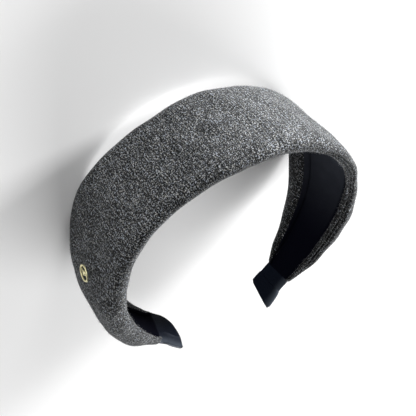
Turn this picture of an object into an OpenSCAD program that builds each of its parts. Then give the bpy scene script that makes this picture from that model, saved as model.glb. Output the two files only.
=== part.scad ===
// Wide padded headband, lying on its rear edge: the crown towards -Y, the tips towards +Y.
// The band is a C-shaped cloth section carried round a flat hoop, with a black lining in its
// recess, a ribbon wrap on each tip and a small metal badge on the outside of the left leg.

/* [Hoop] */
// Length of half the band along its inside, from the middle of the crown to the end of a tip
half_length = 180; // [160:1:200]
// How far the tips turn about the band's length, so that their inside faces the front edge more
tip_twist = 19; // [0:1:24]
// How much further the inside turns along an end wrap
wrap_curl = 8; // [0:1:20]
// How deep the padded rear edge is pressed flat where it rests
rest_press = 1.4; // [0.4:0.1:2]

/* [Padded cover] */
// Width of the band at the middle of the crown
crown_w = 56; // [50:0.5:62]
// Width of the cover where it ends at a wrap
neck_w = 15; // [13:0.2:19]
// Thickness of the cover and its padding at the crown
crown_t = 6.5; // [5:0.1:9]
// Thickness at the temples, where the band bends most
temple_t = 5.5; // [4.5:0.1:8]
// Thickness where the padding is gathered above the wraps
full_t = 11.4; // [7:0.1:13]
// Thickness where the cover ends at a wrap
neck_t = 3.8; // [3.4:0.1:5]
// How much the outside swells between its two edges
dome = 0.9; // [0:0.1:1.5]
// How far the folded margins stand up round the lining at the temples
lip = 2.6; // [0.8:0.1:3]
// Depth of the crease between the front edge's roll and its folded margin
crease = 0.7; // [0:0.1:1]

/* [Lining] */
// Width of the lining at the middle of the crown
lining_w = 40; // [36:0.5:44]
// Thickness of the lining
lining_t = 0.8; // [0.5:0.1:1.2]
// Width that is left of each folded margin where the cover ends at a wrap
neck_margin = 1.2; // [0.6:0.1:2]

/* [End wraps] */
// Length of the ribbon wrap on each tip
wrap_l = 14.5; // [10:0.5:20]
// Width of a wrapped tip, half way along it
wrap_w = 16; // [13:0.2:19]
// Thickness of a wrapped tip
wrap_t = 3.7; // [3:0.1:4.5]
// How much the last turn of ribbon stands out beyond the first turns
turn_step = 0.3; // [0:0.05:0.5]
// How much further the end of the left tip reaches at its front corner than at its rear one
left_skew = 1.2; // [0:0.1:5]
// How much further the end of the right tip reaches at its front corner
right_skew = 4; // [0:0.1:5]
// Radius of the round rear corner at the end of the left tip
left_round = 8.5; // [0.5:0.5:9]
// Radius of the round rear corner at the end of the right tip
right_round = 1.5; // [0.5:0.5:9]
// How much further the left leg reaches to the rear where its wrap begins
left_extra = 2.4; // [0:0.2:3]

/* [Badge] */
// Diameter of the badge
badge_d = 9; // [7:0.1:12]
// Width of the badge's ring, seen from outside
badge_ring = 0.9; // [0.8:0.1:1.5]
// Height of the badge off the cloth
badge_h = 1; // [0.8:0.1:1.6]
// Width of the bar across the badge
badge_bar = 0.8; // [0.6:0.1:1.4]
// Diameter of the bead in the middle of the badge
badge_bead = 2.8; // [2:0.1:4]
// Distance of the badge from the middle of the crown, along the inside of the band
badge_at = 99; // [85:1:120]

/* [Hidden] */

// Gap between pieces that lie against each other
gap = 0.15;
// Half the length of the cover, up to the wrap
cover_l = half_length - wrap_l - gap;
// How much of the cover's width at a wrap lies towards the front edge
neck_front = 0.43;
// Steps along half the cover, along a wrap, and in the sum that gives a point of the path
cover_steps = 40;
wrap_steps = 16;
path_steps = 48;
// Angle between the points round an edge
edge_turn = 30;

// Sections along half the cover. Columns: share of the cover's half length; heading of the
// inside, in degrees from straight across; reach of the cover towards its front and its rear
// edge, as shares of half the crown's width; reach of the lining towards both, as shares of
// half the lining's width; share of the tip's twist.
HEADING = 1;
FRONT = 2;
REAR = 3;
LINING_FRONT = 4;
LINING_REAR = 5;
TWIST = 6;
sections = [
    [0,      0, 1,    1,    1,    1,    0],
    [0.16,  20, 0.94, 0.98, 1.05, 0.94, 0.04],
    [0.33,  44, 0.86, 1.07, 0.96, 0.82, 0.07],
    [0.49,  76, 0.79, 1.20, 0.92, 0.66, 0.20],
    [0.65,  97, 0.67, 1.09, 0.70, 0.57, 0.22],
    [0.82, 119, 0.49, 0.78, 0.47, 0.51, 0.24],
    [1, 141,
        2 * neck_front * neck_w / crown_w, 2 * (1 - neck_front) * neck_w / crown_w,
        2 * (neck_front * neck_w - neck_margin) / lining_w,
        2 * ((1 - neck_front) * neck_w - neck_margin) / lining_w,
        0.90],
];

// Body along half the cover. Columns: share of the cover's half length, thickness, share of
// the lip, share of what the left leg reaches further to the rear.
THICK = 1;
LIP = 2;
EXTRA = 3;
body = [
    [0,    crown_t,         0.6, 0],
    [0.49, temple_t,        1,   0],
    [0.76, full_t,          1,   0],
    [0.90, 0.80 * full_t,   0.8, -0.5],
    [0.95, 0.56 * full_t,   0.5, -0.1],
    [1,    neck_t,          0.3, 1],
];

// A wrap from the cover to the end. Columns: share of the wrap's length, reach towards the
// front and the rear edge as shares of its width, share of what the left one reaches further,
// share of its thickness, how much of the turn's step it has.
WRAP_FRONT = 1;
WRAP_REAR = 2;
WRAP_EXTRA = 3;
WRAP_THICK = 4;
WRAP_STEP = 5;
wrap_rows = [
    [0,    0.38, 0.54, 0.90, 0.92, 0],
    [0.08, 0.39, 0.55, 0.90, 1,    0],
    [0.42, 0.40, 0.55, 0.75, 1,    0],
    [0.52, 0.42, 0.54, 0.65, 1,    1],
    [0.90, 0.53, 0.52, 0.40, 1,    1],
    [1,    0.52, 0.50, 0.40, 0.80, 0.5],
];

// Slope of a curve through rows of [x, y] at row i. The curve goes on to the other side of
// the crown as its mirror image, with the sign in side.
function slope(rows, i, side) =
    let (
        before = i > 0 ? rows[i - 1] : [-rows[1][0], side * rows[1][1]],
        after = i < len(rows) - 1 ? rows[i + 1] : rows[i]
    )
    (after[1] - before[1]) / (after[0] - before[0]);

// Smooth curve through rows of [x, y]: a cubic between each two rows
function curve(rows, x, side = 1) =
    let (
        i = max([for (k = [0 : len(rows) - 2]) if (k == 0 || x >= rows[k][0]) k]),
        h = rows[i + 1][0] - rows[i][0],
        u = (x - rows[i][0]) / h
    )
    rows[i][1] * (1 + 2 * u) * pow(1 - u, 2)
    + rows[i + 1][1] * (3 - 2 * u) * pow(u, 2)
    + slope(rows, i, side) * h * u * pow(1 - u, 2)
    + slope(rows, i + 1, side) * h * (u - 1) * pow(u, 2);

// One column of a table against its first column
function column(table, c) = [for (row = table) [row[0], row[c]]];

// Value of a sections column at a distance from the crown, held level along the wraps
function section_value(c, d) = curve(column(sections, c), min(abs(d) / cover_l, 1));

// Heading of the inside at a distance from the crown, positive on both legs
function heading(d) =
    curve(column(sections, HEADING), min(d / cover_l, 1), -1)
    + wrap_curl * max(d - cover_l, 0) / wrap_l;

// Point on the inside at a distance from the crown: a sum of short steps along the heading
function inside(d) =
    let (
        step = abs(d) / path_steps,
        turns = [for (k = [0.5 : path_steps]) heading(k * step)],
        steps = [for (a = turns) step]
    )
    [sign(d) * (steps * [for (a = turns) cos(a)]), steps * [for (a = turns) sin(a)], 0];

// The frame of the section at a distance from the crown: its point on the inside, the
// direction across the band towards the front edge, and the direction outward
function frame_at(d) =
    let (
        twist = tip_twist * section_value(TWIST, d),
        flat_out = [sign(d) * sin(heading(abs(d))), -cos(heading(abs(d))), 0],
        up = [0, 0, 1]
    )
    [
        inside(d),
        cos(twist) * up + sin(twist) * flat_out,
        cos(twist) * flat_out - sin(twist) * up
    ];

// A section's points [across, outward] in a frame
function placed(f, points) = [for (p = points) f[0] + p[0] * f[1] + p[1] * f[2]];

// How much of the cover's reach w the rounding towards its edge takes at a thickness t, and
// how far the middle swells between the two roundings
function shoulder(w, t) = min(1.4 * t, 0.85 * w);
function swell(w, t) = dome * (1 - shoulder(w, t) / w);

// Half of the cover's section, from the corner of the recess over the margin and round the
// edge to the outside: w the cover's reach, m the margin, t the thickness, l the lip, c the
// crease
function half_section(w, m, t, l, c) =
    let (edge_n = 0.3 * t, round_w = shoulder(w, t))
    concat(
        [[w - m, lining_t + gap]],
        [for (a = [0 : edge_turn : 60]) [w - m + 0.4 * m * (1 - cos(a)), -l * sin(a)]],
        [for (a = [0 : edge_turn : 90])
            [w - 0.6 * m + 0.6 * m * sin(a) - (a == 60 ? c : 0),
             edge_n - (l + edge_n) * cos(a)]],
        [for (a = [edge_turn : edge_turn : 90])
            [w - round_w * (1 - pow(cos(a), 0.8)), edge_n + (t - edge_n) * pow(sin(a), 0.8)]],
        [[0.5 * (w - round_w), t + 0.75 * swell(w, t)]]
    );

// Half a section on the rear side, in the order that closes the outline
function mirrored(points) = [for (i = [len(points) - 1 : -1 : 0]) [-points[i][0], points[i][1]]];

// Value of a body column at a distance from the crown
function body_value(c, d) = curve(column(body, c), min(abs(d) / cover_l, 1));

// How far the cover and the lining reach from the hoop's line at a distance from the crown,
// which is positive on the left leg
function extra(d) = d > 0 ? left_extra * body_value(EXTRA, d) : 0;
function front_reach(d) = 0.5 * crown_w * section_value(FRONT, d);
function rear_reach(d) = 0.5 * crown_w * section_value(REAR, d) + extra(d);
function lining_front(d) = 0.5 * lining_w * section_value(LINING_FRONT, d);
function lining_rear(d) = 0.5 * lining_w * section_value(LINING_REAR, d) + extra(d);

// Height of the middle of the outside above the hoop's line
function outside_top(d) =
    let (t = body_value(THICK, d))
    t + swell(0.5 * (front_reach(d) + rear_reach(d)), t);

function cover_section(d) =
    let (
        front = front_reach(d),
        rear = rear_reach(d),
        t = body_value(THICK, d),
        l = lip * body_value(LIP, d)
    )
    concat(
        half_section(front, front - lining_front(d), t, l, crease),
        [[0, outside_top(d)]],
        mirrored(half_section(rear, rear - lining_rear(d), t, l, 0))
    );

// The lining's section, inside the recess and clear of its sides
function lining_section(d) =
    let (front = lining_front(d) - gap, rear = lining_rear(d) - gap)
    [[front, 0], [front, lining_t], [-rear, lining_t], [-rear, 0]];

// How far a round corner of radius r cuts into the width at a distance before the end
function round_off(r, before) = before < r ? r - sqrt(r * r - pow(r - before, 2)) : 0;

// Value of a wrap column at a share of the wrap's length
function wrap_value(c, share) = curve(column(wrap_rows, c), share);

// A wrap's section at a share of its length: a rectangle with rounded corners, reaching more
// further to the rear where the leg is wider there, and cut short by the tip's round corner
function wrap_section(share, more, rear_cut) =
    let (
        grow = turn_step * wrap_value(WRAP_STEP, share),
        front = wrap_w * wrap_value(WRAP_FRONT, share),
        rear = wrap_w * wrap_value(WRAP_REAR, share) + more * wrap_value(WRAP_EXTRA, share)
            - rear_cut,
        w = 0.5 * (front + rear) + grow,
        t = wrap_t * wrap_value(WRAP_THICK, share) + 2 * grow,
        r = 0.4 * t
    )
    [for (corner = [[1, 1, 0], [-1, 1, 90], [-1, -1, 180], [1, -1, 270]], a = [0 : 30 : 90])
        [0.5 * (front - rear) + corner[0] * (w - r) + r * cos(corner[2] + a),
         0.5 * wrap_t + corner[1] * (0.5 * t - r) + r * sin(corner[2] + a)]];

// Rings of the cover and of the lining, from the right tip to the left one
cover_at = [for (i = [-cover_steps : cover_steps]) i / cover_steps * cover_l];
cover_rings = [for (d = cover_at) placed(frame_at(d), cover_section(d))];
lining_rings = [for (d = cover_at) placed(frame_at(d), lining_section(d))];

// Rings of a wrap: side is 1 on the left leg and -1 on the right one. Towards its end the
// front corner runs on and the rear one stays behind, by half of the skew each. The rings lie
// closer together towards the end, where the rear corner is round.
function wrap_rings(side, skew, rear_round, more) =
    [for (i = side > 0 ? [0 : wrap_steps] : [wrap_steps : -1 : 0])
        let (
            share = sin(90 * i / wrap_steps),
            points = wrap_section(share, more, round_off(rear_round, (1 - share) * wrap_l)),
            f = frame_at(side * (cover_l + gap + share * wrap_l)),
            on = side * skew * pow(share, 2) * cross(f[1], f[2])
        )
        [for (p = points) f[0] + p[0] * (f[1] + on / wrap_w) + p[1] * f[2]]];
left_wrap_rings = wrap_rings(1, left_skew, left_round, left_extra);
right_wrap_rings = wrap_rings(-1, right_skew, right_round, 0);

// The rear edge rests on the surface, which presses it flat, and the middle of the hoop's
// depth is at the origin
floor_z = min([for (r = cover_rings, p = r) p[2]]) + rest_press;
crown_y = min([for (r = cover_rings, p = r) p[1]]);
tip_y = max([for (r = concat(left_wrap_rings, right_wrap_rings), p = r) p[1]]);
middle_y = 0.5 * (crown_y + tip_y);
function settled(p) = [p[0], p[1] - middle_y, max(p[2] - floor_z, 0)];

// Solid through rings with the same number of points, closed at both ends. Each four-sided
// face is cut along one diagonal, and along the other one where across is true: the lining is
// cut so, which keeps its twisted back parallel to the floor of the recess.
module sweep(rings, across = false) {
    n = len(rings[0]);
    last = len(rings) - 1;
    polyhedron(
        points = [for (r = rings, p = r) settled(p)],
        faces = concat(
            [[for (j = [0 : n - 1]) j]],
            [for (i = [0 : last - 1], j = [0 : n - 1], half = [0, 1])
                let (a = i * n + j, b = i * n + (j + 1) % n)
                across
                    ? (half == 0 ? [a, a + n, b] : [b, a + n, b + n])
                    : (half == 0 ? [a, a + n, b + n] : [a, b + n, b])],
            [[for (j = [n - 1 : -1 : 0]) last * n + j]]
        ),
        convexity = 10
    );
}

module cover() {
    color([0.36, 0.36, 0.37])
        sweep(cover_rings);
}

module lining() {
    color([0.08, 0.08, 0.10])
        sweep(lining_rings, across = true);
}

module end_wrap_left() {
    color([0.09, 0.10, 0.14])
        sweep(left_wrap_rings);
}

module end_wrap_right() {
    color([0.09, 0.10, 0.14])
        sweep(right_wrap_rings);
}

// Point in the middle of the cover's width, on its outside, at a distance from the crown
function on_outside(d) =
    let (f = frame_at(d))
    f[0] + 0.5 * (front_reach(d) - rear_reach(d)) * f[1] + outside_top(d) * f[2];

function unit(v) = v / norm(v);

// The badge: a ring with a bar across it and a round bead on the bar, all one casting. It
// lies on the swell of the cloth, on the slope that the padding has there.
module badge() {
    along = unit(on_outside(badge_at + 0.5 * badge_d) - on_outside(badge_at - 0.5 * badge_d));
    outward = unit(cross(along, frame_at(badge_at)[1]));
    across = cross(outward, along);
    at = settled(on_outside(badge_at) + gap * outward);
    color([0.83, 0.66, 0.34])
        multmatrix([
            [across[0], along[0], outward[0], at[0]],
            [across[1], along[1], outward[1], at[1]],
            [across[2], along[2], outward[2], at[2]],
            [0, 0, 0, 1]
        ]) {
            rotate_extrude($fn = 48)
                translate([0.5 * badge_d - badge_ring, 0])
                    square([badge_ring, badge_h]);
            translate([0.5 * badge_ring - 0.5 * badge_d, -0.5 * badge_bar, 0])
                cube([badge_d - badge_ring, badge_bar, 0.7 * badge_h]);
            cylinder(d = badge_bead, h = badge_h, $fn = 32);
        }
}

cover();
lining();
end_wrap_left();
end_wrap_right();
badge();
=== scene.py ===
"""Wide padded headband of grey melange wool, lying on its rear edge: crown towards -Y, tips
towards +Y, front edge up. Lengths are in metres and angles in degrees, in the part's frame."""
import math

import bpy
import numpy as np
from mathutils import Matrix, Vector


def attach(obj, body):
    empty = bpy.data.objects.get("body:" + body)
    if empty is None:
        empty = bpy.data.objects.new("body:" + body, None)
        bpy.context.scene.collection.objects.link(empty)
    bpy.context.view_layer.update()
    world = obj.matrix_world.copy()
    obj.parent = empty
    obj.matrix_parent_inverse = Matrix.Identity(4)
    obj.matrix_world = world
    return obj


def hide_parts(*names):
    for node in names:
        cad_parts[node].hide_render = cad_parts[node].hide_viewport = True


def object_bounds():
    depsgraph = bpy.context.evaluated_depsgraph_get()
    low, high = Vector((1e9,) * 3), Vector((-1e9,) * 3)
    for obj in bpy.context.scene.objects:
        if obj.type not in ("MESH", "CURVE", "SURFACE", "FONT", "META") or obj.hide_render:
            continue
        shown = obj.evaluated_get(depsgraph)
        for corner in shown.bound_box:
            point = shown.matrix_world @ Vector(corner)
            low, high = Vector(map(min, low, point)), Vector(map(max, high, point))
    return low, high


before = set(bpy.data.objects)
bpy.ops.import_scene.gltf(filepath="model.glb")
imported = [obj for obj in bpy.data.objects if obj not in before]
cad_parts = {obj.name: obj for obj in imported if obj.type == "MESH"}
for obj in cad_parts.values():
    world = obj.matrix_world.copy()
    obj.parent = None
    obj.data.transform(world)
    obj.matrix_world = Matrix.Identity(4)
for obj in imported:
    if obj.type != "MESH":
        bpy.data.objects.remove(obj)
cad_low, cad_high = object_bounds()


# Cover: grey melange wool cloth pulled over foam padding and a stiff hoop, rolled round both
# edges and glued down inside as folded margins, which leave a recess for the lining. It is one
# closed skin here, with soft waves outside and two creases where the cloth is folded in.

half_length = 0.180      # inside of the band, from the middle of the crown to the end of a tip
wrap_length = 0.0145
cover_length = half_length - wrap_length
crown_width = 0.056
neck_width = 0.0150
neck_front = 0.43        # share of the neck's width that lies towards the front edge
neck_margin = 0.0012
lining_skew = 0.0009     # how far the lining lies off the middle at a tip
left_extra = 0.0024      # how much further the left tip reaches to the rear than the right one
lining_width = 0.040
lining_depth = 0.00095   # floor of the recess below the inside of the band
lip = 0.0026             # how far the folded margins stand up round the lining at the temples
margin_roll = 0.4        # share of a margin's width that its inner rounding takes
dome = 0.0009            # how far the outside swells between its two rounded edges
tip_twist = 19.0
wrap_curl = 8.0

# Columns: share of the cover's half length, heading of the inside, reach of the cover and of the
# lining towards the front and the rear edge as shares of half their width at the crown, share of
# the twist
section_rows = np.array([
    [0.00,   0, 1.00, 1.00, 1.00, 1.00, 0.00],
    [0.16,  20, 0.94, 0.98, 1.05, 0.94, 0.04],
    [0.33,  44, 0.86, 1.07, 0.96, 0.82, 0.07],
    [0.49,  76, 0.79, 1.20, 0.92, 0.66, 0.20],
    [0.65,  97, 0.67, 1.09, 0.70, 0.57, 0.22],
    [0.82, 119, 0.49, 0.78, 0.47, 0.51, 0.24],
    [1.00, 141,
     2 * neck_front * neck_width / crown_width,
     2 * (1 - neck_front) * neck_width / crown_width,
     2 * (neck_front * neck_width - neck_margin) / lining_width,
     2 * ((1 - neck_front) * neck_width - neck_margin) / lining_width,
     0.90],
])
heading_col, front_col, rear_col, lining_front_col, lining_rear_col, twist_col = range(1, 7)

# Columns: share of the cover's half length, thickness of cloth and padding, share of the lip,
# share of what sets the left tip apart
thickness_rows = np.array([
    [0.00, 0.0065, 0.6, 0.0],
    [0.49, 0.0055, 1.0, 0.0],
    [0.76, 0.0114, 1.0, 0.0],
    [0.90, 0.0091, 0.8, -0.6],
    [0.95, 0.0064, 0.5, -0.1],
    [1.00, 0.0038, 0.3, 1.0],
])


def curve_through(rows, share, mirror=1.0):
    """Smooth curve through rows of (share, value): a cubic between each two rows, whose slope
    at a row is the slope between its neighbours. On the other side of the crown the curve goes
    on as its mirror image times mirror."""
    x, y = rows[:, 0], rows[:, 1]
    before = np.concatenate([[[-x[1]], [mirror * y[1]]], [x[:-1], y[:-1]]], axis=1)
    after = np.concatenate([[x[1:], y[1:]], [[x[-1]], [y[-1]]]], axis=1)
    slope = (after[1] - before[1]) / (after[0] - before[0])
    i = np.clip(np.searchsorted(x, share, side="right") - 1, 0, len(x) - 2)
    h = x[i + 1] - x[i]
    u = (share - x[i]) / h
    return (y[i] * (1 + 2 * u) * (1 - u) ** 2 + y[i + 1] * (3 - 2 * u) * u ** 2
            + slope[i] * h * u * (1 - u) ** 2 + slope[i + 1] * h * (u - 1) * u ** 2)


def section_value(column, at):
    """A column of the section table at distances from the crown, held level along the tips."""
    share = np.minimum(np.abs(at) / cover_length, 1)
    mirror = -1.0 if column == heading_col else 1.0
    return curve_through(section_rows[:, [0, column]], share, mirror)


def hoop(at):
    """The band's frame at distances from the crown, negative on the right leg: its point on the
    inside, the direction across the band towards the front edge, and the direction outward. The
    point is the sum of short steps along the heading, and the twist turns the other two."""
    fine = np.linspace(0, half_length * 1.02, 4001)
    curl = wrap_curl * np.maximum(fine - cover_length, 0) / wrap_length
    turn = np.radians(section_value(heading_col, fine) + curl)
    step = fine[1]
    x = np.concatenate([[0], np.cumsum(np.cos(0.5 * (turn[1:] + turn[:-1])) * step)])
    y = np.concatenate([[0], np.cumsum(np.sin(0.5 * (turn[1:] + turn[:-1])) * step)])
    side, reach = np.sign(at), np.abs(at)
    heading = np.interp(reach, fine, turn)
    twist = np.radians(tip_twist * section_value(twist_col, at))
    inside = np.stack([side * np.interp(reach, fine, x), np.interp(reach, fine, y), 0 * at], -1)
    flat_out = np.stack([side * np.sin(heading), -np.cos(heading), 0 * at], -1)
    up = np.array([0.0, 0.0, 1.0])
    cos, sin = np.cos(twist)[..., None], np.sin(twist)[..., None]
    return inside, cos * up + sin * flat_out, cos * flat_out - sin * up


def placed(at, across, outward):
    """Points of sections, given as distances across and outward, carried to the band's frames:
    point on the inside + across times its direction + outward times its direction."""
    inside, over, out = hoop(at)
    return inside[:, None] + across[..., None] * over[:, None] + outward[..., None] * out[:, None]


def thickness_value(column, at):
    """A column of the thickness table at distances from the crown, held level along the tips."""
    return curve_through(thickness_rows[:, [0, column]], np.minimum(np.abs(at) / cover_length, 1))


def reaches(at):
    """How far the cover reaches from the hoop's line to its front and its rear edge, and the
    lining to its own two edges. The left tip is wider at the rear, and near the tips the
    lining lies off the middle: to the rear on the left leg, to the front on the right one."""
    apart = thickness_value(3, at)
    left = np.where(at > 0, apart, 0) * left_extra
    off = np.sign(at) * np.maximum(apart, 0) * lining_skew
    front = 0.5 * crown_width * section_value(front_col, at)
    rear = 0.5 * crown_width * section_value(rear_col, at) + left
    lining_front = 0.5 * lining_width * section_value(lining_front_col, at) - off
    lining_rear = 0.5 * lining_width * section_value(lining_rear_col, at) + left + off
    return front, rear, lining_front, lining_rear


def shoulder(reach, thick):
    """How much of the reach the rounding of an edge takes."""
    return np.minimum(1.4 * thick, 0.85 * reach)


def half_section(reach, margin, thick, lip_here):
    """Half of the cover's outline, one row for each section: up the wall of the recess, over
    the margin in two quarter ellipses, round the edge in a softened quarter ellipse, and along
    the outside in a shallow parabola to the middle. Returns distances across and outward."""
    reach, margin, thick, lip_here = (v[:, None] for v in (reach, margin, thick, lip_here))
    turn_over = np.radians(np.linspace(0, 90, 19))[None, :-1]
    turn_edge = np.radians(np.linspace(0, 90, 51))[None, :]
    turn_out = np.radians(np.linspace(0, 90, 15))[None, 1:]
    to_middle = np.linspace(0, 1, 18)[None, 1:-1]
    edge_out = 0.3 * thick
    rounding = shoulder(reach, thick)
    swell = dome * (1 - rounding / reach)
    wall = np.linspace(lining_depth, 0, 4)[None, :-1]
    x = [reach - margin + 0 * wall,
         reach - margin + margin_roll * margin * (1 - np.cos(turn_over)),
         reach - (1 - margin_roll) * margin * (1 - np.sin(turn_edge)),
         reach - rounding * (1 - np.cos(turn_out) ** 0.8),
         (reach - rounding) * (1 - to_middle)]
    y = [wall + 0 * reach,
         -lip_here * np.sin(turn_over) + 0 * reach,
         edge_out - (lip_here + edge_out) * np.cos(turn_edge),
         edge_out + (thick - edge_out) * np.sin(turn_out) ** 0.8,
         thick + swell * (1 - (1 - to_middle) ** 2)]
    return np.concatenate(x, 1), np.concatenate(y, 1)


def cover_section(at):
    """The whole outline at each distance: the front half, the middle of the outside, the rear
    half in the other order, and a few points across the floor of the recess."""
    front, rear, lining_front, lining_rear = reaches(at)
    thick, lip_here = thickness_value(1, at), lip * thickness_value(2, at)
    fx, fy = half_section(front, front - lining_front, thick, lip_here)
    rx, ry = half_section(rear, rear - lining_rear, thick, lip_here)
    middle = 0.5 * (front + rear)
    top = thick + dome * (1 - shoulder(middle, thick) / middle)
    floor_share = np.linspace(0, 1, 8)[None, 1:-1]
    floor_x = -rx[:, :1] + (fx[:, :1] + rx[:, :1]) * floor_share
    x = np.concatenate([fx, 0 * top[:, None], -rx[:, ::-1], floor_x], 1)
    y = np.concatenate([fy, top[:, None], ry[:, ::-1], lining_depth + 0 * floor_x], 1)
    return x, y, fx.shape[1]


def normals_of(points):
    """Normals of a grid of points that closes on itself along its second direction: the cross
    product of the differences between neighbours in the two directions."""
    along = np.gradient(points, axis=0)
    around = np.roll(points, -1, axis=1) - np.roll(points, 1, axis=1)
    normal = np.cross(around, along)
    return normal / np.maximum(np.linalg.norm(normal, axis=-1, keepdims=True), 1e-12)


def closed_sweep(name, points, uv):
    """A piece whose mesh is a grid of rings: quads between neighbouring rings and a flat face
    over each end. uv holds a pair for each ring and each corner round it, with one corner more
    than the ring has points, so that the pattern doesn't run back across the last face."""
    rings, around = points.shape[:2]
    ring, corner = np.meshgrid(np.arange(rings - 1), np.arange(around), indexing="ij")
    nxt = (corner + 1) % around
    quads = np.stack([ring * around + corner, (ring + 1) * around + corner,
                      (ring + 1) * around + nxt, ring * around + nxt], -1).reshape(-1, 4)
    uv_index = np.stack([ring * (around + 1) + corner, (ring + 1) * (around + 1) + corner,
                         (ring + 1) * (around + 1) + corner + 1,
                         ring * (around + 1) + corner + 1], -1).reshape(-1)
    first, last = np.arange(around), (rings - 1) * around + np.arange(around)[::-1]
    flat = points.reshape(-1, 3)
    a, b, c, d = (flat[quads[:, k]] for k in range(4))
    volume = (np.cross(c - a, d - b) * a).sum()
    loops = np.concatenate([quads.ravel(), first, last])
    starts = np.concatenate([np.arange(len(quads)) * 4, [len(quads) * 4, len(quads) * 4 + around]])
    mesh = bpy.data.meshes.new(name)
    mesh.vertices.add(len(flat))
    mesh.vertices.foreach_set("co", flat.astype(np.float32).ravel())
    mesh.loops.add(len(loops))
    mesh.loops.foreach_set("vertex_index", loops.astype(np.int32))
    mesh.polygons.add(len(starts))
    mesh.polygons.foreach_set("loop_start", starts.astype(np.int32))
    mesh.update(calc_edges=True)
    uv_corners = np.concatenate([uv.reshape(-1, 2)[uv_index], uv[0, :-1], uv[-1, :-1][::-1]])
    layer = mesh.uv_layers.new(name="cloth")
    layer.data.foreach_set("uv", uv_corners.astype(np.float32).ravel())
    if volume < 0:
        mesh.flip_normals()
    mesh.shade_smooth()
    piece = bpy.data.objects.new(name, mesh)
    bpy.context.scene.collection.objects.link(piece)
    return piece


cover_rings = 421
ring_crowding = 1.06       # above 1, the rings lie closer towards the ends
cover_end = 0.1637         # where the cloth ends at the right tip, with the ribbon under it
left_shorter = 0.0013      # how much sooner it ends at the left tip
end_rounding = 0.0016      # length over which the cloth turns in there
end_core = 0.00185         # how far outward from the inside the middle of a tip lies
end_narrower, end_thinner = 0.10, 0.34     # shares that the turned-in end loses
at_cover = np.linspace(-1, 1, cover_rings)
end_here = np.where(at_cover > 0, cover_end - left_shorter, cover_end)
at_cover = np.sign(at_cover) * (1 - (1 - np.abs(at_cover)) ** ring_crowding) * end_here
cover_x, cover_y, per_half = cover_section(at_cover)

# The cloth turns in over the last stretch, towards the middle of the tip
turn_in = np.clip((np.abs(at_cover) - end_here + end_rounding) / end_rounding, 0, 1)
turn_in = (1 - np.sqrt(1 - turn_in ** 2))[:, None]
cover_x = cover_x * (1 - end_narrower * turn_in)
cover_y = end_core + (cover_y - end_core) * (1 - end_thinner * turn_in)

cover_points = placed(at_cover, cover_x, cover_y)

# Lengths on the cloth: round each ring from the middle of the outside, and along that middle
steps_round = np.linalg.norm(np.diff(cover_points, axis=1, append=cover_points[:, :1]), axis=-1)
round_it = np.concatenate([np.zeros((cover_rings, 1)), np.cumsum(steps_round, 1)], 1)
round_it = round_it[:, per_half:per_half + 1] - round_it
steps_along = np.linalg.norm(np.diff(cover_points[:, per_half], axis=0), axis=-1)
along_it = np.concatenate([[0], np.cumsum(steps_along)])
along_it = along_it - 0.5 * along_it[-1]

# Two creases run along the front margin, where the folded cloth is drawn in. Columns: share of
# the cover's half length, distance of the first one from the recess, distance between the two,
# depth of the first and of the second, half width. The left leg has none.
crease_rows = np.array([
    [0.00, 0.0052, 0.0012, 0.0000, 0.0000, 0.00050],
    [0.22, 0.0054, 0.0014, 0.0001, 0.0001, 0.00050],
    [0.42, 0.0060, 0.0016, 0.0012, 0.0010, 0.00040],
    [0.60, 0.0063, 0.0017, 0.0016, 0.0014, 0.00045],
    [0.76, 0.0066, 0.0020, 0.0024, 0.0010, 0.00085],
    [0.90, 0.0058, 0.0018, 0.0018, 0.0006, 0.00085],
    [1.00, 0.0040, 0.0006, 0.0000, 0.0000, 0.00050],
])
crease_share = np.abs(at_cover) / cover_length
crease_at, crease_apart, first_depth, second_depth, crease_width = (
    curve_through(crease_rows[:, [0, k]], crease_share)[:, None] for k in range(1, 6))
from_margin = round_it[:, 3:4] - round_it[:, :-1]
relief = -first_depth * np.exp(-((from_margin - crease_at) / crease_width) ** 2)
relief -= second_depth * np.exp(-((from_margin - crease_at - crease_apart) / crease_width) ** 2)
relief *= np.where(at_cover < 0, 1.0, 0.0)[:, None]

# Soft unevenness of the padding: a sum of slow waves in both directions, fading at the margins
wave_height = 0.00022
wave_reach = 0.03          # how far from the middle of the outside the waves go
wave = (np.sin(along_it[:, None] * 310 + round_it[:, :-1] * 120 + 0.7)
        + np.sin(along_it[:, None] * 173 - round_it[:, :-1] * 205 + 2.1)
        + np.sin(along_it[:, None] * 88 + round_it[:, :-1] * 61 + 4.4))
relief += wave_height * wave * np.exp(-(round_it[:, :-1] / wave_reach) ** 4)

# Everything moves by the shift that brings the cover into the CAD model's box
cover_points = cover_points + relief[..., None] * normals_of(cover_points)
lowest, highest = cover_points.min((0, 1)), cover_points.max((0, 1))
shift = np.array([0, cad_low.y - lowest[1], cad_high.z - highest[2]])
cover_points = cover_points + shift
cover_points[..., 2] = np.maximum(cover_points[..., 2], 0)

# On the legs the cloth is drawn tight lengthwise, which spreads its grain: there the pattern's
# own coordinate, counted from the crown, grows by only leg_stretch of the length
leg_stretch = 0.56
tight = np.interp(np.abs(along_it), [0.07, 0.11, 0.13, 0.15], [0, 1, 1, 0])
spread = 1 - (1 - leg_stretch) * tight
pattern_steps = np.diff(along_it) * 0.5 * (spread[1:] + spread[:-1])
pattern_along = np.concatenate([[0], np.cumsum(pattern_steps)])
pattern_along = pattern_along - np.interp(0, along_it, pattern_along)
cover_uv = np.stack([pattern_along[:, None] + 0 * round_it, round_it], -1)
cover = closed_sweep("cover", cover_points, cover_uv)


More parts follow.
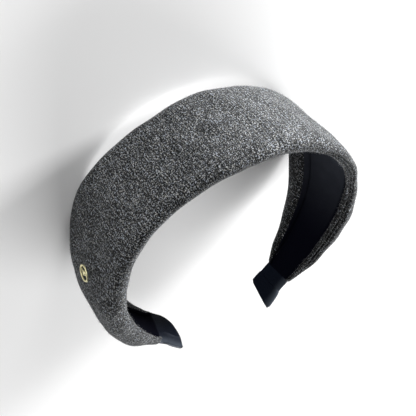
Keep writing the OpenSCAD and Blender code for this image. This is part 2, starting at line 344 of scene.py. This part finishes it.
def node_tree(name):
    """A new material with a Principled shader, and short ways to add a node and a link to it."""
    material = bpy.data.materials.new(name)
    material.use_nodes = True
    tree = material.node_tree
    shader = tree.nodes["Principled BSDF"]

    def add(kind, inputs=(), **settings):
        """A shader node with its settings, each input linked to a socket or set to a value."""
        node = tree.nodes.new("ShaderNode" + kind)
        for key, value in settings.items():
            setattr(node, key, value)
        for key, value in dict(inputs).items():
            if isinstance(value, bpy.types.NodeSocket):
                tree.links.new(value, node.inputs[key])
            else:
                node.inputs[key].default_value = value
        return node

    def join(output, target):
        """A link from an output to an input."""
        tree.links.new(output, target)

    return material, shader, add, join


def ramp(add, factor, stops):
    """A colour ramp through (position, grey or colour) stops."""
    node = add("ValToRGB", {"Fac": factor})
    elements = node.color_ramp.elements
    while len(elements) < len(stops):
        elements.new(0.5)
    for element, (position, colour) in zip(elements, stops):
        element.position = position
        element.color = (*colour, 1) if hasattr(colour, "__len__") else (colour,) * 3 + (1,)
    return node.outputs["Color"]


def wool_cloth():
    """Milled melange wool: dark and pale fibres mixed in clumps of under a millimetre, faint
    diagonal ribs of the twill below the nap, and slow cloudy changes over centimetres. The
    noises are blended, and grey = ramp(contrast * 10 * (blend - 0.5) + middle). Contrast grows
    and middle darkens from the crown to the legs, and the left tip is softer and paler. The
    further darkening over the last stretch of the right leg is painted shade."""
    material, shader, add, join = node_tree("wool_cloth")
    place = add("UVMap", uv_map="cloth").outputs["UV"]

    def noise(scale, detail, stretch=(1, 1), turn=0.0, roughness=0.6):
        """Noise over the cloth's own coordinates, which are turned and stretched before it."""
        mapping = add("Mapping", {"Vector": place, "Rotation": (0, 0, math.radians(turn)),
                                  "Scale": (*stretch, 1)})
        return add("TexNoise", {"Vector": mapping.outputs["Vector"], "Scale": scale,
                                "Detail": detail, "Roughness": roughness}).outputs["Fac"]

    def mixed(a, b, share):
        """(1 - share) * a + share * b."""
        return add("Mix", {"Factor": share, "A": a, "B": b}, data_type="FLOAT").outputs["Result"]

    clumps = noise(1500, 2.0, roughness=0.7)
    tufts = noise(600, 1.0)
    fibres = mixed(noise(1550, 2.0, (1, 0.5), 35), noise(1650, 2.0, (1, 0.5), -60), 0.5)
    clouds = noise(95, 3.0)
    twill = noise(1250, 1.0, (1, 0.12), -52)
    blend = mixed(mixed(clumps, fibres, 0.35), twill, 0.16)
    blend = mixed(mixed(blend, tufts, 0.08), clouds, 0.05)
    along = add("SeparateXYZ", {"Vector": place}).outputs["X"]
    from_right = add("MapRange", {"Value": along, "From Min": -0.14, "From Max": 0.14})
    contrast = ramp(add, from_right.outputs["Result"], [
        (0.00, 0.34), (0.18, 0.34), (0.36, 0.265), (0.64, 0.275),
        (0.82, 0.42), (0.89, 0.42), (0.96, 0.25)])
    # Lowest at the end of the right leg: there the darker middle is painted shade
    middle = ramp(add, from_right.outputs["Result"], [
        (0.00, 0.370), (0.10, 0.402), (0.18, 0.428), (0.36, 0.477), (0.64, 0.476),
        (0.82, 0.432), (0.89, 0.432), (0.96, 0.474)])
    tenfold = add("Math", {0: blend, 1: 10.0, 2: -5.0}, operation="MULTIPLY_ADD")
    grey = add("Math", {0: tenfold.outputs["Value"], 1: contrast, 2: middle},
               operation="MULTIPLY_ADD")
    colour = ramp(add, grey.outputs["Value"], [
        (0.41, 0.0025), (0.47, 0.010), (0.52, 0.036), (0.585, 0.135), (0.68, 0.33)])
    tint = ramp(add, noise(700, 1.0), [(0.40, (1.00, 1.00, 0.96)), (0.60, (0.91, 0.99, 1.12))])
    colour = add("Mix", {"Factor": 1.0, 6: colour, 7: tint}, data_type="RGBA",
                 blend_type="MULTIPLY").outputs[2]
    join(colour, shader.inputs["Base Color"])
    height = mixed(mixed(clumps, twill, 0.3), fibres, 0.4)
    bump = add("Bump", {"Height": height, "Strength": 0.7, "Distance": 0.0006})
    join(bump.outputs["Normal"], shader.inputs["Normal"])
    shader.inputs["Roughness"].default_value = 0.95
    shader.inputs["Specular IOR Level"].default_value = 0.15
    shader.inputs["Sheen Weight"].default_value = 0.10
    shader.inputs["Sheen Roughness"].default_value = 0.5
    shader.inputs["Sheen Tint"].default_value = (0.75, 0.77, 0.80, 1)
    return material


cover.data.materials.append(wool_cloth())
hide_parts("cover")
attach(cover, "root")


# Nap: short wool fibres that stand off the cover a little and lie over to one side. They are
# three-sided hairs with two bends, rooted in the cloth, thinner towards the tip.

fibre_count = 13000
fibre_length = (0.0006, 0.0016)
fibre_width = 0.000045
root_depth = 0.00005
bend_angle = 1.6           # between the way a fibre lies and the way it bends
nap_seed = 7

random = np.random.default_rng(nap_seed)
first_cell, last_cell = 8, cover_points.shape[1] - 24      # leaves out what the lining covers
cloth = cover_points[:, first_cell:last_cell]
cell_along = np.linalg.norm(np.diff(cloth, axis=0)[:, :-1], axis=-1)
cell_round = np.linalg.norm(np.diff(cloth, axis=1)[:-1], axis=-1)
cell_share = (cell_along * cell_round).ravel()
cell = random.choice(len(cell_share), fibre_count, p=cell_share / cell_share.sum())
row, column = np.unravel_index(cell, cell_along.shape)
u, v = random.random((2, fibre_count, 1))
corner, ahead, beside = cloth[row, column], cloth[row + 1, column], cloth[row, column + 1]
root = corner + u * (ahead - corner) + v * (beside - corner)
upright = normals_of(cover_points)[:, first_cell:last_cell][row, column]
lengthwise = (ahead - corner) / np.linalg.norm(ahead - corner, axis=-1, keepdims=True)
sideways = np.cross(upright, lengthwise)
lie = random.uniform(0, 2 * math.pi, (fibre_count, 1))
lean = np.cos(lie) * lengthwise + np.sin(lie) * sideways
turned = np.cos(lie + bend_angle) * lengthwise + np.sin(lie + bend_angle) * sideways
length = random.uniform(*fibre_length, (fibre_count, 1))
rise = random.uniform(0.15, 0.55, (fibre_count, 1))
swing = random.uniform(-0.5, 0.5, (fibre_count, 1))
spine = np.stack([root - root_depth * upright,
                  root + length * (0.55 * lean + rise * upright),
                  root + length * (lean + swing * turned + 0.7 * rise * upright)], 1)
across_hair = np.cross(lean, upright)
three = np.radians([0.0, 120.0, 240.0])[:, None]
ring_of_hair = np.cos(three) * across_hair[:, None] + np.sin(three) * upright[:, None]
taper = np.array([1.0, 0.8, 0.15])[None, :, None, None]
hair = spine[:, :, None] + 0.5 * fibre_width * taper * ring_of_hair[:, None]
hair[..., 2] = np.maximum(hair[..., 2], 0)
side_faces = [(3 * k + j, 3 * k + (j + 1) % 3, 3 * k + 3 + (j + 1) % 3, 3 * k + 3 + j)
              for k in range(2) for j in range(3)]
base = 9 * np.arange(fibre_count)[:, None, None]
quads = (np.array(side_faces)[None] + base).reshape(-1, 4)
ends = (np.array([(2, 1, 0), (6, 7, 8)])[None] + base).reshape(-1, 3)
nap_mesh = bpy.data.meshes.new("nap")
nap_mesh.from_pydata(hair.reshape(-1, 3).tolist(), [], quads.tolist() + ends.tolist())
nap_mesh.shade_smooth()
nap = bpy.data.objects.new("nap", nap_mesh)
bpy.context.scene.collection.objects.link(nap)


def nap_fibre():
    """Wool fibres, some of them pale and some dark: the noise changes within a millimetre, so
    that neighbours differ."""
    material, shader, add, join = node_tree("nap_fibre")
    place = add("TexCoord").outputs["Object"]
    change = add("TexNoise", {"Vector": place, "Scale": 700.0, "Detail": 1.0}).outputs["Fac"]
    join(ramp(add, change, [(0.35, (0.03, 0.031, 0.034)), (0.50, (0.16, 0.165, 0.17)),
                            (0.62, (0.50, 0.51, 0.52))]), shader.inputs["Base Color"])
    shader.inputs["Roughness"].default_value = 0.7
    shader.inputs["Specular IOR Level"].default_value = 0.2
    return material


nap.data.materials.append(nap_fibre())
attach(nap, "root")


# Lining: a strip of smooth near-black cloth, cut to the shape of the recess and glued into it.
# Its front edge is turned under and lies below the margin, and its rear edge goes up the roll of
# the rear margin.

lining_thickness = 0.0005
lining_back = 0.0009       # the furthest outward that its back goes, just short of the recess
lining_clearance = 0.00015
edge_turned = 0.0020       # width over which the front edge curves down
edge_slope = 0.42          # how deep it curves down, as a share of that width
lining_wave = 0.00012
lining_rings = 421
roll_proud = 0.0004        # how far the lining lies in front of the roll
tucked = 0.12              # angle over which its last edge goes into the cloth
behind_across, behind_outward = 0.0002, 0.0003         # its back lies this far inside the roll
# Columns: distance from the crown, degrees that the lining goes up the roll there
climb_rows = np.array([[0.085, 50], [0.115, 8], [0.138, 8], [0.153, 60]])
at_lining = np.linspace(-1, 1, lining_rings)
at_lining = at_lining * np.where(at_lining > 0, cover_end - left_shorter, cover_end)

# Across the floor of the recess, from the front edge to the foot of the rear margin
_, rear_edge, lining_front, lining_rear = (v[:, None] for v in reaches(at_lining))
rear_margin = rear_edge - lining_rear
share_across = 0.5 - 0.5 * np.cos(np.linspace(0, math.pi, 46))[None, :]
lining_edge = lining_front - lining_clearance
floor_x = lining_edge - (lining_edge + lining_rear) * share_across
curve_down = np.clip(1 - (lining_edge - floor_x) / edge_turned, 0, 1)
floor_y = edge_turned * edge_slope * (1 - np.sqrt(1 - curve_down ** 2))
slow_wave = np.sin(at_lining[:, None] * 75 + floor_x * 90 + 1.3)
off_edges = np.minimum(share_across * 6, 1) * np.minimum((1 - share_across) * 6, 1)
floor_y = floor_y - lining_wave * slow_wave * off_edges

# Then up the roll, lying a little in front of it, with the last edge tucked into the cloth
climb = np.interp(at_lining, climb_rows[:, 0], climb_rows[:, 1])[:, None]
roll = np.radians(climb) * np.linspace(0, 1, 15)[None, 1:]
lip_there = lip * thickness_value(2, at_lining)[:, None]
roll_x = -lining_rear - margin_roll * rear_margin * (1 - np.cos(roll))
roll_y = -lip_there * np.sin(roll)
proud = roll_proud * np.clip((roll[:, -1:] - roll) / tucked, 0, 1) ** 0.5
front_x = np.concatenate([floor_x, roll_x + 0.7 * proud], 1)
front_y = np.concatenate([floor_y, roll_y - 0.7 * proud], 1)
back_x = np.concatenate([floor_x, roll_x - behind_across], 1)
floor_back = np.minimum(floor_y + lining_thickness, lining_back)
back_y = np.concatenate([floor_back, roll_y + behind_outward], 1)
ring_x = np.concatenate([front_x, back_x[:, ::-1]], 1)
ring_y = np.concatenate([front_y, back_y[:, ::-1]], 1)
lining_points = placed(at_lining, ring_x, ring_y) + shift
lining_chords = np.diff(lining_points, axis=1, append=lining_points[:, :1])
lining_steps = np.linalg.norm(lining_chords, axis=-1)
lining_round = np.concatenate([np.zeros((lining_rings, 1)), np.cumsum(lining_steps, 1)], 1)
lining_uv = np.stack([at_lining[:, None] + 0 * lining_round, lining_round], -1)
lining = closed_sweep("lining", lining_points, lining_uv)


wave_spacing = 0.314       # distance between the bands of a wave texture whose scale is 1


def dark_cloth(name, colour, roughness, thread, gloss, axis, centre, painted_sheen_span, painted_sheen,
               shaded_edge=0.0):
    """Closely woven dark cloth: two fine waves at right angles for the threads, fine noise in
    its colour and slow noise in its roughness. thread is the width of a thread, and the gap
    beside it is as wide. The cloth goes over to a paler colour, a painted sheen that stands for
    light on its satin, as its distance from centre along one axis of its UV map goes over the
    two given lengths, patchy with the slow noise. Within the given width of its first long edge
    it keeps its dark colour, which paints a line of shade there."""
    material, shader, add, join = node_tree(name)
    place = add("UVMap", uv_map="cloth").outputs["UV"]
    waves = [add("TexWave", {"Vector": place, "Scale": wave_spacing / thread / 2,
                             "Distortion": 0.4, "Detail": 1.0, "Detail Scale": 2.0},
                 bands_direction=direction)
             for direction in ("X", "Y")]
    weave = add("Math", {0: waves[0].outputs["Fac"], 1: waves[1].outputs["Fac"]},
                operation="MAXIMUM")
    slow = add("TexNoise", {"Vector": place, "Scale": 140.0, "Detail": 3.0}).outputs["Fac"]
    fine = add("TexNoise", {"Vector": place, "Scale": 1800.0, "Detail": 2.0}).outputs["Fac"]
    rough = add("MapRange", {"Value": slow, "To Min": roughness - 0.07,
                             "To Max": roughness + 0.07})
    join(rough.outputs["Result"], shader.inputs["Roughness"])
    dark = [0.7 * c for c in colour]
    light = [1.35 * c for c in colour]
    shade = ramp(add, fine, [(0.35, dark), (0.65, light)])
    along = add("Math", {0: add("SeparateXYZ", {"Vector": place}).outputs[axis], 1: -centre})
    distance = add("Math", {0: along.outputs["Value"]}, operation="ABSOLUTE").outputs["Value"]
    # Painted sheen: a paler colour by distance from centre, patchy with the slow noise
    no_sheen_at, full_sheen_at = painted_sheen_span
    sheen_mask = add("MapRange", {"Value": distance, "From Min": no_sheen_at, "From Max": full_sheen_at},
               interpolation_type="SMOOTHERSTEP")
    patchy = add("MapRange", {"Value": slow, "To Min": 0.75, "To Max": 1.25})
    both = add("Math", {0: sheen_mask.outputs["Result"], 1: patchy.outputs["Result"]},
               operation="MULTIPLY")
    # Painted shade: no sheen near the first long edge, so a dark line runs along it
    if shaded_edge:
        from_edge = add("SeparateXYZ", {"Vector": place}).outputs["Y"]
        outside_shaded_edge = add("MapRange", {"Value": from_edge, "From Min": 0.6 * shaded_edge,
                                        "From Max": 1.4 * shaded_edge})
        both = add("Math", {0: both.outputs["Value"], 1: outside_shaded_edge.outputs["Result"]},
                   operation="MULTIPLY")
    shade = add("Mix", {"Factor": both.outputs["Value"], 6: shade, 7: (*painted_sheen, 1)},
                data_type="RGBA").outputs[2]
    join(shade, shader.inputs["Base Color"])
    bump = add("Bump", {"Height": weave.outputs["Value"], "Strength": 0.25, "Distance": 0.00008})
    join(bump.outputs["Normal"], shader.inputs["Normal"])
    shader.inputs["Specular IOR Level"].default_value = gloss
    shader.inputs["Specular Tint"].default_value = (0.62, 0.74, 1.0, 1)
    return material


# The lining is painted paler round the crown, a painted sheen, and a line of painted shade runs
# along its front edge
lining.data.materials.append(dark_cloth(
    "lining_cloth", colour=(0.0026, 0.0028, 0.0060), roughness=0.60, thread=0.00035, gloss=0.003,
    axis="X", centre=-0.015, painted_sheen_span=(0.130, 0.045), painted_sheen=(0.042, 0.046, 0.058),
    shaded_edge=0.0022))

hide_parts("lining")
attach(lining, "root")


# End wraps: dark navy ribbon wound twice round each tip, over the ends of cover and lining,
# and glued. The second turn stands out a little, and the ribbon's long edge laps on the inside
# of the tip, where it makes a fold line beside the front edge.

wrap_thickness = 0.0037
wrap_rings, turn_rings, wrap_around = 90, 40, 120
tip_width = 0.016
ribbon_round, ribbon_along = 0.040, 0.015  # cloth round a tip and along it
corner_power = 4.5         # how square the section is
turn_start, turn_end = 0.48, 0.95          # the second turn, as shares of the wrap's length
turn_rounding = 0.012      # share of the length over which its edges round off
turn_sunk = 0.00005        # how deep its edges lie in the first turn
front_slope = 0.30         # how much the inside falls away in front of the lap

# Columns: share of the wrap's length, reach towards the front edge, reach towards the rear edge
# on the right tip, how much further it reaches to the rear on the left tip, share of the thickness
wrap_rows = np.array([
    [0.00, 0.0062, 0.0088, 0.0022, 0.96],
    [0.15, 0.0063, 0.0088, 0.0022, 1.00],
    [0.45, 0.0064, 0.0087, 0.0018, 1.00],
    [0.60, 0.0073, 0.0087, 0.0014, 1.00],
    [0.92, 0.0086, 0.0085, 0.0010, 1.00],
    [1.00, 0.0084, 0.0082, 0.0010, 0.80],
])


def rounded_box(count, power):
    """Points round a superellipse with half axes of 1, as (x, y), about evenly spaced when it
    is stretched to the section of a wrap."""
    angle = np.linspace(0, 2 * math.pi, 4001)
    x = np.sign(np.cos(angle)) * np.abs(np.cos(angle)) ** (2 / power)
    y = np.sign(np.sin(angle)) * np.abs(np.sin(angle)) ** (2 / power)
    length = np.concatenate([[0], np.cumsum(np.hypot(4.0 * np.diff(x), np.diff(y)))])
    even = np.linspace(0, length[-1], count + 1)[:-1]
    return np.interp(even, length, x), np.interp(even, length, y)


def wrap_points(share, tip, grow):
    """Rings round a tip at shares of the wrap's length: a rounded box in each section, cut
    short at the rear by a round corner, thinner in front of the lap, and pushed out by grow.
    Towards the end the front corner runs on and the rear one stays behind, by half the skew."""
    side = tip["side"]
    length = tip["end"] - tip["start"]
    inner = np.clip(tip["round"] - (1 - share) * length, 0, tip["round"])
    cut = tip["round"] - np.sqrt(tip["round"] ** 2 - inner ** 2)
    front, rear, left, thick = (curve_through(wrap_rows[:, [0, k]], share) for k in range(1, 5))
    rear = rear + (left if side > 0 else 0) - cut
    front = front + tip["wider"]
    half_w = 0.5 * (front + rear) + grow
    half_t = 0.5 * wrap_thickness * thick + grow
    box_x, box_y = rounded_box(wrap_around, corner_power)
    x = 0.5 * (front - rear)[:, None] + half_w[:, None] * box_x
    y = 0.5 * wrap_thickness + half_t[:, None] * box_y
    in_front = np.maximum(x - front[:, None] + tip["lap"], 0)
    y = np.where(box_y < 0, y + front_slope * in_front, y)
    inside, over, out = hoop(side * (tip["start"] + share * length))
    on = side * (tip["skew"] * share ** 2)[:, None] * np.cross(over, out) / tip_width
    return (inside[:, None] + x[..., None] * (over + on)[:, None]
            + y[..., None] * out[:, None] + shift)


def wrap_turn(name, share, tip, grow):
    """A turn of ribbon round a tip, with its cloth's coordinates along it and round it."""
    around = np.linspace(0, ribbon_round, wrap_around + 1)
    uv = np.stack(np.meshgrid(share * ribbon_along, around, indexing="ij"), -1)
    return closed_sweep(name, wrap_points(share, tip, grow), uv)


# The ribbon is painted paler along the front edge of each tip: a painted highlight where the satin
# turns over the edge
ribbon = dark_cloth(
    "ribbon", colour=(0.0068, 0.0088, 0.0150), roughness=0.25, thread=0.00030, gloss=0.012,
    axis="Y", centre=0.5 * ribbon_round, painted_sheen_span=(0.0138, 0.0192),
    painted_sheen=(0.066, 0.077, 0.095))

# start and end: distances from the crown. skew: how far the front corner runs on. round: radius
# of the rear corner. lap: from the front edge to the fold line. wider: how much further the
# front edge reaches. turn: height of the second turn.
tips = {
    "left": dict(side=1, start=0.1614, end=0.1779, skew=0.0016, round=0.0085, lap=0.0052,
                 wider=0.0004, turn=0.00010),
    "right": dict(side=-1, start=0.1627, end=0.1796, skew=0.0040, round=0.0015, lap=0.0030,
                  wider=0.0, turn=0.00030),
}
for leg, tip in tips.items():
    share = np.sin(np.linspace(0, 0.5 * math.pi, wrap_rings))
    under = wrap_turn(f"end_wrap_{leg}", share, tip, 0 * share)
    share = np.linspace(turn_start, turn_end, turn_rings)
    lift = np.clip(np.minimum(share - turn_start, turn_end - share) / turn_rounding, 0, 1)
    lift = tip["turn"] * np.sqrt(1 - (1 - lift) ** 2) - turn_sunk
    over_turn = wrap_turn(f"wrap_turn_{leg}", share, tip, lift)
    for piece in (under, over_turn):
        piece.data.materials.append(ribbon)
        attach(piece, "root")
    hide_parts(f"end_wrap_{leg}")


# Badge: a small round casting with a polished gold plate, held by prongs through the cloth: a
# ring with a bar across it and a round bead in the middle, all their edges rounded.

badge_at = 0.099           # from the middle of the crown, on the left leg
badge_width, badge_height = 0.0090, 0.0010
ring_width, bar_width, bead_width = 0.0009, 0.0008, 0.0028
badge_lift = 0.0001        # between the cloth's middle line and the badge's back
edge_power = 0.75          # how softly the section's corners are rounded


def on_outside(at):
    """Points in the middle of the cover's width on its outside, at distances from the crown:
    point on the inside + (front - rear reach) / 2 across + (thickness + swell) outward."""
    front, rear, _, _ = reaches(at)
    thick, middle = thickness_value(1, at), 0.5 * (front + rear)
    top = thick + dome * (1 - shoulder(middle, thick) / middle)
    inside, over, out = hoop(at)
    return inside + (0.5 * (front - rear))[:, None] * over + top[:, None] * out + shift


def grid_solid(points, closed):
    """Faces of a grid of points that closes on itself along its second direction, and along
    its first one too where closed is set; otherwise a flat face covers each end."""
    rows, columns = points.shape[:2]
    down_to = rows if closed else rows - 1
    row, column = np.meshgrid(np.arange(down_to), np.arange(columns), indexing="ij")
    down, right = (row + 1) % rows, (column + 1) % columns
    quads = np.stack([row * columns + column, row * columns + right,
                      down * columns + right, down * columns + column], -1).reshape(-1, 4)
    a, b, c, d = (points.reshape(-1, 3)[quads[:, k]] for k in range(4))
    faces = quads.tolist()
    if not closed:
        faces += [list(range(columns))[::-1], list(range((rows - 1) * columns, rows * columns))]
    inward = (np.cross(c - a, d - b) * (a - points.mean((0, 1)))).sum() < 0
    return points.reshape(-1, 3).tolist(), [face[::-1] if inward else face for face in faces]


turn = np.linspace(0, 2 * math.pi, 97)[:-1]
round_section = np.linspace(0, 2 * math.pi, 29)[:-1]
soft_x = np.sign(np.cos(round_section)) * np.abs(np.cos(round_section)) ** edge_power
soft_y = np.sign(np.sin(round_section)) * np.abs(np.sin(round_section)) ** edge_power

# The ring is a softened square section carried round, the bar the same one carried straight, and
# the bead a flattened dome
ring_radius = 0.5 * (badge_width - ring_width) + 0.5 * ring_width * soft_x
ring_grid = np.stack([np.cos(turn)[:, None] * ring_radius, np.sin(turn)[:, None] * ring_radius,
                      0.5 * badge_height * (1 + soft_y) + 0 * turn[:, None]], -1)
bar_along = (np.linspace(-0.5, 0.5, 12) * (badge_width - ring_width))[:, None]
bar_grid = np.stack([bar_along + 0 * soft_x, 0.5 * bar_width * soft_x + 0 * bar_along,
                     0.35 * badge_height * (1 + soft_y) + 0 * bar_along], -1)
rise = np.radians(np.linspace(0, 89.5, 20))[:, None]
bead_radius = 0.5 * bead_width * np.cos(rise) ** 0.8
bead_grid = np.stack([bead_radius * np.cos(turn), bead_radius * np.sin(turn),
                      badge_height * (0.2 + 0.9 * np.sin(rise)) + 0 * turn], -1)
badge_verts, badge_faces = [], []
for grid, closed in ((ring_grid, True), (bar_grid, False), (bead_grid, False)):
    verts, faces = grid_solid(grid, closed)
    badge_faces += [[k + len(badge_verts) for k in face] for face in faces]
    badge_verts += verts

# Seat it on the slope that the cloth has between its two ends
seat = on_outside(badge_at + np.array([-0.5, 0.0, 0.5]) * badge_width)
badge_along = (seat[2] - seat[0]) / np.linalg.norm(seat[2] - seat[0])
badge_out = np.cross(badge_along, hoop(np.array([badge_at]))[1][0])
badge_out /= np.linalg.norm(badge_out)
badge_across = np.cross(badge_out, badge_along)
badge_place = np.array([badge_across, badge_along, badge_out])
badge_points = np.array(badge_verts) @ badge_place + seat[1] + badge_lift * badge_out
badge_mesh = bpy.data.meshes.new("badge")
badge_mesh.from_pydata(badge_points.tolist(), [], badge_faces)
badge_mesh.shade_smooth()
badge = bpy.data.objects.new("badge_casting", badge_mesh)
bpy.context.scene.collection.objects.link(badge)


def polished_gold():
    """Pale gold plate: fine scratches and slow changes in how yellow and how dull it is."""
    material, shader, add, join = node_tree("gilt_metal")
    place = add("TexCoord").outputs["Object"]
    scratches = add("TexNoise", {"Vector": place, "Scale": 2500.0, "Detail": 3.0}).outputs["Fac"]
    patches = add("TexNoise", {"Vector": place, "Scale": 600.0, "Detail": 2.0}).outputs["Fac"]
    rough = add("MapRange", {"Value": patches, "To Min": 0.24, "To Max": 0.42})
    join(rough.outputs["Result"], shader.inputs["Roughness"])
    join(ramp(add, patches, [(0.3, (0.86, 0.78, 0.42)), (0.7, (0.96, 0.92, 0.62))]),
         shader.inputs["Base Color"])
    bump = add("Bump", {"Height": scratches, "Strength": 0.1, "Distance": 0.00003})
    join(bump.outputs["Normal"], shader.inputs["Normal"])
    shader.inputs["Metallic"].default_value = 1.0
    return material


badge.data.materials.append(polished_gold())
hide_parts("badge")
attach(badge, "root")


# Stage: a pale floor that isn't part of the object, a camera where the photo was taken from,
# rolled as the photo is, and soft studio light: low lamps on the right leg's side and on the
# crown's side, and larger ones beside the camera and behind the tips.

floor_size = 6.0


def pale_floor():
    """A plain matt pale grey."""
    material, shader, _, _ = node_tree("pale_floor")
    shader.inputs["Base Color"].default_value = (0.85, 0.85, 0.85, 1)
    shader.inputs["Roughness"].default_value = 0.9
    return material


floor_corners = floor_size * np.array([(-1, -1, 0), (1, -1, 0), (1, 1, 0), (-1, 1, 0)])
floor_mesh = bpy.data.meshes.new("floor")
floor_mesh.from_pydata(floor_corners.tolist(), [], [(0, 1, 2, 3)])
floor = bpy.data.objects.new("floor", floor_mesh)
bpy.context.scene.collection.objects.link(floor)
floor_mesh.materials.append(pale_floor())

# The camera's place and turn were fitted to the headband's outline
target = np.array([0.00320, -0.01060, 0.02601])
camera_distance = 0.58875
toward_camera = np.array([0.3778, -0.6902, 0.6172])
image_right = np.array([-0.8497, 0.0064, 0.5273])
toward_camera = toward_camera / np.linalg.norm(toward_camera)
image_right = image_right - toward_camera * (image_right @ toward_camera)
image_right = image_right / np.linalg.norm(image_right)
image_up = np.cross(toward_camera, image_right)
focal_pixels, photo_width = 1181.2, 416

camera_data = bpy.data.cameras.new("camera")
camera_data.sensor_width = 36.0
camera_data.lens = focal_pixels * camera_data.sensor_width / photo_width
camera_data.clip_start, camera_data.clip_end = 0.01, 50
camera = bpy.data.objects.new("camera", camera_data)
bpy.context.scene.collection.objects.link(camera)
matrix = np.eye(4)
matrix[:3, 0], matrix[:3, 1], matrix[:3, 2] = image_right, image_up, toward_camera
matrix[:3, 3] = target + camera_distance * toward_camera
camera.matrix_world = matrix.T.tolist()
bpy.context.scene.camera = camera


light_distance = 1.2
lit_point = np.array([0, 0, 0.03])


def area_light(name, direction, size, power):
    """A lamp of a width and height in a direction from the object, facing it."""
    data = bpy.data.lights.new(name, "AREA")
    data.shape = "RECTANGLE"
    data.size, data.size_y = size
    data.energy = power
    light = bpy.data.objects.new(name, data)
    direction = np.array(direction) / np.linalg.norm(direction)
    side = np.cross((0, 0, 1), direction)
    side = side / np.linalg.norm(side)
    matrix = np.eye(4)
    matrix[:3, 0], matrix[:3, 1], matrix[:3, 2] = side, np.cross(direction, side), direction
    matrix[:3, 3] = direction * light_distance + lit_point
    light.matrix_world = matrix.T.tolist()
    bpy.context.scene.collection.objects.link(light)


area_light("key", (-0.951, -0.291, 0.105), (0.30, 0.25), 48)
area_light("crown_side", (-0.257, -0.961, 0.105), (0.30, 0.25), 10.5)
area_light("fill", (0.648, -0.582, 0.482), (0.6, 0.6), 5)
area_light("back", (-0.321, 0.883, 0.342), (1.2, 0.9), 30)

world = bpy.data.worlds.new("studio")
world.use_nodes = True
world.node_tree.nodes["Background"].inputs["Color"].default_value = (1, 1, 1, 1)
world.node_tree.nodes["Background"].inputs["Strength"].default_value = 0.05
bpy.context.scene.world = world
bpy.context.scene.view_settings.view_transform = "Standard"
